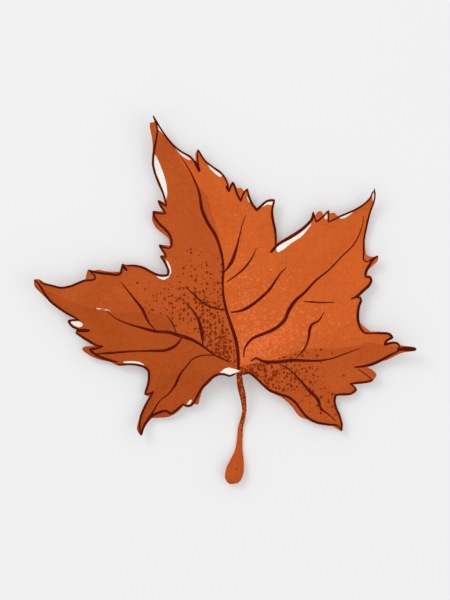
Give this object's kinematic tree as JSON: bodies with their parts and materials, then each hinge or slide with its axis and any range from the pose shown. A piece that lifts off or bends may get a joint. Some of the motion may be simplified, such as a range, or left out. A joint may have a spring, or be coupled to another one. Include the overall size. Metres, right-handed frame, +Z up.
{
  "type": "maple leaf",
  "caption": "Dry maple leaf lying upper side up: toothed, lobed blade with ribs beneath and a stalk with a swollen foot, grown as one piece.",
  "frame": {"origin": "middle of the leaf's bounding box, at the level of the surface it lies on", "axes": "+Z up through the leaf's upper side, +X across the leaf from the left lobe to the right basal lobe, +Y from the stalk towards the middle lobe"},
  "size_m": [0.1298, 0.126, 0.0079],
  "materials": {
    "leaf": "satin"
  },
  "bodies": {
    "root": {"maple_leaf": "leaf"}
  },
  "joints": []
}
